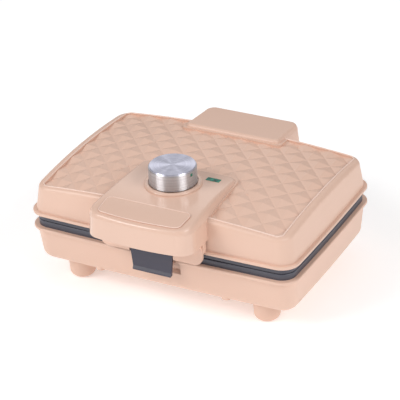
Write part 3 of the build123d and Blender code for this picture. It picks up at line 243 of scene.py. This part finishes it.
# Moulded plastics
shell = surface(
    "shell_plastic",
    PEACH_DEEP,
    PEACH,
    rough=(0.34, 0.40),
    patch=9,
    grain=2600,
    height=0.01 * MM,
    Specular_IOR_Level=0.5,
)
gloss_shell = surface(
    "gloss_plastic",
    PEACH_DEEP,
    PEACH,
    rough=(0.20, 0.26),
    patch=9,
    grain=900,
    height=0.003 * MM,
    Coat_Weight=0.4,
    Coat_Roughness=0.12,
)
# Painted highlight: a lighter peach finish for the field bead and pad line
edge_highlight = surface(
    "painted_edge_highlight",
    EDGE_HIGHLIGHT_DEEP,
    EDGE_HIGHLIGHT,
    rough=(0.22, 0.30),
    patch=30,
    grain=1800,
    height=0.004 * MM,
)
latch_plastic = surface(
    "latch_plastic",
    LATCH_BLUE_DEEP,
    LATCH_BLUE,
    rough=(0.34, 0.44),
    patch=30,
    grain=2400,
    height=0.02 * MM,
)
dark_plastic = surface(
    "dark_plastic",
    BLACK,
    BLACK_SOFT,
    rough=(0.35, 0.5),
    patch=50,
    grain=2000,
    height=0.02 * MM,
)

# Non-stick coating of the plates
coating = surface(
    "plate_coating",
    COATING,
    COATING_LIGHT,
    rough=(0.30, 0.42),
    patch=40,
    grain=3200,
    height=0.03 * MM,
    Coat_Weight=0.2,
    Coat_Roughness=0.25,
)

# Metals
steel = surface(
    "plain_steel",
    STEEL_DEEP,
    STEEL,
    rough=(0.25, 0.4),
    patch=60,
    grain=1500,
    height=0.01 * MM,
    Metallic=1.0,
)
sheet = surface(
    "aluminium_sheet",
    STEEL,
    METAL,
    rough=(0.3, 0.45),
    patch=30,
    grain=1200,
    height=0.01 * MM,
    Metallic=1.0,
)
brass = surface(
    "brass",
    BRASS_DEEP,
    BRASS,
    rough=(0.2, 0.35),
    patch=60,
    grain=1500,
    height=0.01 * MM,
    Metallic=1.0,
)

# Small electrical pieces, lamp and green marks
ceramic = surface(
    "ceramic",
    CERAMIC_DEEP,
    CERAMIC,
    rough=(0.4, 0.6),
    patch=60,
    grain=1500,
    height=0.02 * MM,
)
green_mark = surface(
    "green_mark",
    GREEN_DARK,
    GREEN,
    rough=(0.2, 0.3),
    patch=300,
    grain=2000,
    height=0.004 * MM,
)
green_lens = surface(
    "green_lens",
    GREEN_DARK,
    GREEN,
    rough=(0.08, 0.16),
    patch=260,
    grain=1500,
    height=0.004 * MM,
    Coat_Weight=0.6,
)
lamp_glass = surface(
    "lamp_glass",
    CERAMIC,
    METAL,
    rough=(0.05, 0.1),
    patch=80,
    grain=900,
    height=0.002 * MM,
    Transmission_Weight=0.8,
)

# Turned metal of the knob
knob_low, knob_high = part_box("knob_disc")
knob_axis = (knob_low + knob_high) / 2
disc_metal = turned_metal(
    "turned_disc", DISC_DEEP, DISC, axis=knob_axis, pitch=0.4 * MM, rough=0.32, anisotropy=0.95
)
ring_metal = turned_metal(
    "turned_ring", METAL_DEEP, METAL, axis=knob_axis, pitch=0.6 * MM, rough=0.40, anisotropy=1.0
)

# Finish of each node; the rest are plain steel
finishes = {
    "lid_shell": shell,
    "base_shell": shell,
    "hinge_cover_upper": shell,
    "hinge_cover_lower": shell,
    "handle_underside": shell,
    "foot_front_left": shell,
    "foot_front_right": shell,
    "foot_rear_left": shell,
    "foot_rear_right": shell,
    "handle_cover": gloss_shell,
    "grip_pad": gloss_shell,
    "knob_bezel": gloss_shell,
    "lower_cooking_plate": coating,
    "upper_cooking_plate": coating,
    "latch": latch_plastic,
    "knob_disc": disc_metal,
    "knob_ring": ring_metal,
    "knob_core": dark_plastic,
    "knob_index": green_mark,
    "indicator_lens": green_lens,
    "indicator_lamp": lamp_glass,
    "thermal_fuse": ceramic,
    "thermostat": ceramic,
    "terminal_block": ceramic,
    "shaft_bush": brass,
    "cord_gland": dark_plastic,
    "lower_heat_shield": sheet,
    "upper_heat_shield": sheet,
}
for name, node in nodes.items():
    node.data.materials.clear()
    node.data.materials.append(finishes.get(name, steel))
    for polygon in node.data.polygons:
        polygon.material_index = 0


# Lid shell with crisp creases between the pyramids' faces
lid_mesh = nodes["lid_shell"].data.copy()
lid_mesh.name = "lid_skin"
work = bmesh.new()
work.from_mesh(lid_mesh)
bmesh.ops.remove_doubles(work, verts=work.verts, dist=JOIN_REACH)
bmesh.ops.dissolve_degenerate(work, edges=work.edges, dist=SLIVER)
work.to_mesh(lid_mesh)
lid_tree = BVHTree.FromBMesh(work)
work.free()
custom = lid_mesh.attributes.get("custom_normal")
if custom:
    lid_mesh.attributes.remove(custom)
lid_mesh.polygons.foreach_set("use_smooth", [True] * len(lid_mesh.polygons))
lid_mesh.set_sharp_from_angle(angle=CREASE)
lid_skin = bpy.data.objects.new("lid_skin", lid_mesh)
bpy.context.collection.objects.link(lid_skin)
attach(lid_skin, "lid")
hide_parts("lid_shell")


# Closed beads laid on a surface
def drop_on(tree, spot):
    """Height at which a point falls on a surface, or None beside it."""
    hit = tree.ray_cast(Vector((spot.x, spot.y, DROP_HEIGHT)), -UPWARD)[0]
    return hit.z if hit else None


def bead_ring(work, before, point, after, radius):
    ahead = (after - before).normalized()
    side = ahead.cross(UPWARD).normalized()
    rise = side.cross(ahead)
    ring = []
    for step in range(BEAD_SIDES):
        angle = 2 * math.pi * step / BEAD_SIDES
        offset = side * math.cos(angle) + rise * math.sin(angle)
        ring.append(work.verts.new(point + offset * radius))
    return ring


def tube(name, points, radius, material, body):
    """A closed round bead along the points."""
    mesh = bpy.data.meshes.new(name)
    work = bmesh.new()
    count = len(points)
    rings = []
    for index, point in enumerate(points):
        rings.append(bead_ring(work, points[index - 1], point, points[(index + 1) % count], radius))
    for index, here in enumerate(rings):
        there = rings[(index + 1) % count]
        for step in range(BEAD_SIDES):
            after = (step + 1) % BEAD_SIDES
            work.faces.new((here[step], here[after], there[after], there[step]))
    bmesh.ops.recalc_face_normals(work, faces=work.faces)
    work.to_mesh(mesh)
    work.free()
    mesh.polygons.foreach_set("use_smooth", [True] * len(mesh.polygons))
    mesh.materials.append(material)
    piece = bpy.data.objects.new(name, mesh)
    bpy.context.collection.objects.link(piece)
    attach(piece, body)


# Thin bead round the waffle field, coloured a lighter peach as a painted highlight
def field_side(share, along_x):
    """A point on one bowed side of the field, with its bow growing to the middle."""
    half_long = FIELD_X if along_x else FIELD_Y
    half_across = FIELD_Y if along_x else FIELD_X
    bow = FIELD_BOW_Y if along_x else FIELD_BOW_X
    straight = half_long - FIELD_CORNER
    travel = -straight + 2 * straight * share
    across = half_across + bow * (1 - (travel / half_long) ** 2)
    return travel, across


def bead_path():
    """Points round the field: front, right, back and left side."""
    points = []
    for along_x, sense, face in ((True, 1, -1), (False, 1, 1), (True, -1, 1), (False, -1, -1)):
        for step in range(BEAD_STEPS + 1):
            travel, across = field_side(step / BEAD_STEPS, along_x)
            travel *= sense
            across = face * (across + BEAD_OUT)
            spot = (travel, across) if along_x else (across, travel)
            points.append(Vector(spot))
    return points


bead_points = [Vector((spot.x, spot.y, drop_on(lid_tree, spot) - BEAD_SINK)) for spot in bead_path()]
tube("field_bead", bead_points, BEAD_RADIUS, edge_highlight, "lid")


# Fine raised line round the thumb pad, coloured a lighter peach as a painted highlight
def pad_outline(spots):
    """Evenly spaced points along the pad's outline from above."""
    corners = [spots[index] for index in convex_hull_2d(spots)]
    points = []
    for index, corner in enumerate(corners):
        after = corners[(index + 1) % len(corners)]
        steps = max(1, round((after - corner).length / PAD_STEP))
        for step in range(steps):
            points.append(corner.lerp(after, step / steps))
    return points


work = bmesh.new()
work.from_mesh(nodes["handle_cover"].data)
work.from_mesh(nodes["grip_pad"].data)
handle_tree = BVHTree.FromBMesh(work)
work.free()
pad_spots = [vertex.co.xy for vertex in nodes["grip_pad"].data.vertices]
pad_middle = sum(pad_spots, Vector((0, 0))) / len(pad_spots)
pad_points = []
for spot in pad_outline(pad_spots):
    outward = (spot - pad_middle).normalized() * PAD_OUT
    levels = [drop_on(handle_tree, side) for side in (spot - outward, spot + outward)]
    height = max(level for level in levels if level is not None)
    pad_points.append(Vector((spot.x, spot.y, height)))
tube("pad_line", pad_points, PAD_LINE, edge_highlight, "lid")


# Stage: white floor that runs out of view
corners = [(-FLOOR_REACH, -FLOOR_REACH, 0), (FLOOR_REACH, -FLOOR_REACH, 0)]
corners += [(FLOOR_REACH, FLOOR_REACH, 0), (-FLOOR_REACH, FLOOR_REACH, 0)]
floor_mesh = bpy.data.meshes.new("floor")
floor_mesh.from_pydata(corners, [], [(0, 1, 2, 3)])
floor = bpy.data.objects.new("floor", floor_mesh)
bpy.context.collection.objects.link(floor)
floor_finish, floor_tree, floor_shader = new_material("floor_white")
floor_shader.inputs["Base Color"].default_value = FLOOR_WHITE
floor_shader.inputs["Roughness"].default_value = FLOOR_ROUGHNESS
floor_shader.inputs["Emission Color"].default_value = GLOW_WHITE
floor_shader.inputs["Emission Strength"].default_value = FLOOR_GLOW
floor_mesh.materials.append(floor_finish)


# Lights
def soft_box(name, place, size, power):
    data = bpy.data.lights.new(name, "AREA")
    data.shape = "RECTANGLE"
    data.size, data.size_y = size
    data.energy = power
    lamp = bpy.data.objects.new(name, data)
    lamp.location = place
    lamp.rotation_euler = (LIGHT_AIM - Vector(place)).to_track_quat("-Z", "Y").to_euler()
    bpy.context.collection.objects.link(lamp)


for name, box in SOFT_BOXES.items():
    soft_box(name, *box)
world = bpy.data.worlds.new("studio")
bpy.context.scene.world = world
world.use_nodes = True
sky = world.node_tree.nodes["Background"]
sky.inputs["Color"].default_value = SKY_WHITE
sky.inputs["Strength"].default_value = SKY
bpy.context.scene.view_settings.view_transform = "Standard"


# Camera
def camera_turn():
    """The camera's right, up and back directions."""
    level = math.cos(ELEVATION)
    back = Vector((math.sin(AZIMUTH) * level, -math.cos(AZIMUTH) * level, math.sin(ELEVATION)))
    level_right = (-back).cross(UPWARD).normalized()
    level_up = level_right.cross(-back)
    right = level_right * math.cos(ROLL) + level_up * math.sin(ROLL)
    up = -level_right * math.sin(ROLL) + level_up * math.cos(ROLL)
    return right, up, back


right, up, back = camera_turn()
camera_data = bpy.data.cameras.new("camera")
camera_data.lens = LENS
camera_data.sensor_width = SENSOR
camera_data.clip_end = CLIP_END
camera = bpy.data.objects.new("camera", camera_data)
camera_place = TARGET + back * DISTANCE + right * PAN_RIGHT + up * PAN_UP
camera_matrix = Matrix((right, up, back)).transposed().to_4x4()
camera.matrix_world = Matrix.Translation(camera_place) @ camera_matrix
bpy.context.collection.objects.link(camera)
bpy.context.scene.camera = camera
